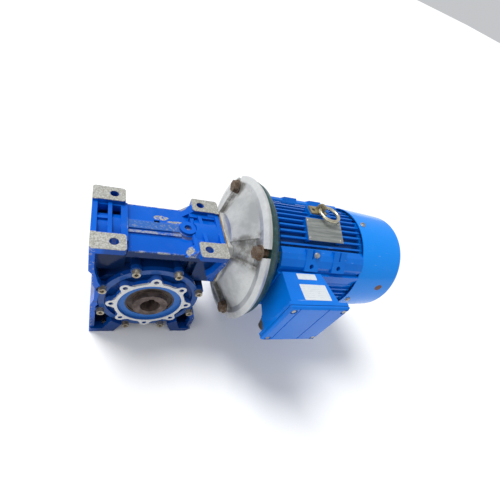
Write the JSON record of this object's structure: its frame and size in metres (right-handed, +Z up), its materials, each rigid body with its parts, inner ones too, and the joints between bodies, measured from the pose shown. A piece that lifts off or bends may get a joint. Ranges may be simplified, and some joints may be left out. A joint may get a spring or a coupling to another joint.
{
  "type": "worm gear motor",
  "caption": "Worm gear reducer with a hollow output shaft, a bell-shaped input flange and a finned, flange-mounted electric motor with terminal box and lifting ring.",
  "frame": {"origin": "centre of the hollow output shaft's bore, on the gearbox's middle plane", "axes": "+X along the worm and motor axis towards the motor's fan end, +Y along the output bore away from the side cover and the terminal box, +Z up from the bottom feet to the top pads"},
  "size_m": [0.543, 0.281, 0.318],
  "materials": {
    "housing_paint": "glossy enamel, chipped to bare casting on worn faces",
    "motor_paint": "glossy enamel",
    "shield_paint": "dark green enamel, dusty",
    "bare_aluminium": "sand-cast, lightly machined",
    "bearing_steel": "ground",
    "cage_steel": "pressed cage, polished balls",
    "shaft_iron": "surface rust and old grease",
    "wheel_bronze": "machined bronze",
    "worm_steel": "case-hardened and ground",
    "seal_rubber": "nitrile, dusty",
    "o_ring_rubber": "nitrile",
    "gasket_paper": "oiled gasket paper",
    "zinc_screw": "zinc plated, tarnished",
    "rusty_bolt": "plated, brown with rust",
    "plug_steel": "plated",
    "spring_steel": "phosphated",
    "lamination": "stacked sheet edges",
    "copper_winding": "varnished copper wire",
    "cage_aluminium": "die cast",
    "shaft_steel": "turned",
    "fan_plastic": "moulded",
    "gland_plastic": "moulded",
    "board_plastic": "moulded",
    "stud_brass": "turned",
    "plate_aluminium": "satin plate, blank",
    "lug_steel": "yellow zinc, dull",
    "ring_steel": "zinc plated, shiny"
  },
  "bodies": {
    "gearmotor": {"gearbox_housing": "housing_paint", "side_cover": "housing_paint", "side_cover_o_ring": "o_ring_rubber", "side_cover_screws": "zinc_screw", "output_oil_seal_front": "seal_rubber", "output_oil_seal_rear": "seal_rubber", "output_bearing_outer_front": "bearing_steel", "output_bearing_outer_rear": "bearing_steel", "worm_bearing_outer_blind": "bearing_steel", "worm_bearing_outer_input": "bearing_steel", "worm_end_cap": "o_ring_rubber", "worm_retaining_rings": "spring_steel", "input_oil_seal": "seal_rubber", "filler_plug": "housing_paint", "drain_plugs": "plug_steel", "housing_gasket": "gasket_paper", "input_flange": "bare_aluminium", "input_flange_screws": "plug_steel", "flange_gasket": "gasket_paper", "flange_bolts": "rusty_bolt", "motor_flange_shield": "shield_paint", "motor_frame": "motor_paint", "stator_core": "lamination", "stator_windings": "copper_winding", "motor_bearing_outer_drive": "bearing_steel", "motor_bearing_outer_fan": "bearing_steel", "rear_end_shield": "motor_paint", "end_shield_bolts": "plug_steel", "fan_cowl": "motor_paint", "cowl_screws": "plug_steel", "terminal_box": "motor_paint", "terminal_box_gasket": "o_ring_rubber", "terminal_box_lid": "motor_paint", "lid_screws": "plug_steel", "terminal_board": "board_plastic", "terminal_studs": "stud_brass", "cable_gland": "gland_plastic", "nameplate": "plate_aluminium", "nameplate_rivets": "plug_steel", "lifting_lug": "lug_steel", "earth_screw": "plug_steel"},
    "output": {"output_shaft": "shaft_iron", "worm_wheel": "wheel_bronze", "output_bearing_inner_front": "bearing_steel", "output_bearing_inner_rear": "bearing_steel"},
    "output_cages": {"output_bearing_balls": "cage_steel"},
    "input": {"worm_shaft": "worm_steel", "worm_bearing_inner_blind": "bearing_steel", "worm_bearing_inner_input": "bearing_steel", "rotor_core": "lamination", "rotor_cage": "cage_aluminium", "rotor_shaft": "shaft_steel", "shaft_key": "shaft_steel", "motor_bearing_inner_drive": "bearing_steel", "motor_bearing_inner_fan": "bearing_steel", "cooling_fan": "fan_plastic"},
    "input_cages": {"worm_bearing_balls": "cage_steel", "motor_bearing_balls": "cage_steel"},
    "lifting_ring": {"lifting_ring": "ring_steel"}
  },
  "joints": [
    {"name": "output_turn", "type": "hinge", "parent": "gearmotor", "child": "output", "pos_m": [0, 0, 0], "axis": [0, 1, 0], "continuous": true},
    {"name": "input_turn", "type": "hinge", "parent": "gearmotor", "child": "input", "pos_m": [0, 0, 0.09], "axis": [1, 0, 0], "continuous": true},
    {"name": "output_cage_turn", "type": "hinge", "parent": "gearmotor", "child": "output_cages", "pos_m": [0, 0, 0], "axis": [0, 1, 0], "continuous": true},
    {"name": "input_cage_turn", "type": "hinge", "parent": "gearmotor", "child": "input_cages", "pos_m": [0, 0, 0.09], "axis": [1, 0, 0], "continuous": true},
    {"name": "ring_swing", "type": "hinge", "parent": "gearmotor", "child": "lifting_ring", "pos_m": [0.264, 0.012, 0.195], "axis": [-0.766, -0.6428, 0], "range_deg": [0, 100]}
  ],
  "couplings": [
    {"joint": "input_turn", "follows": "output_turn", "ratio": -30},
    {"joint": "output_cage_turn", "follows": "output_turn", "ratio": 0.4},
    {"joint": "input_cage_turn", "follows": "output_turn", "ratio": -12}
  ]
}
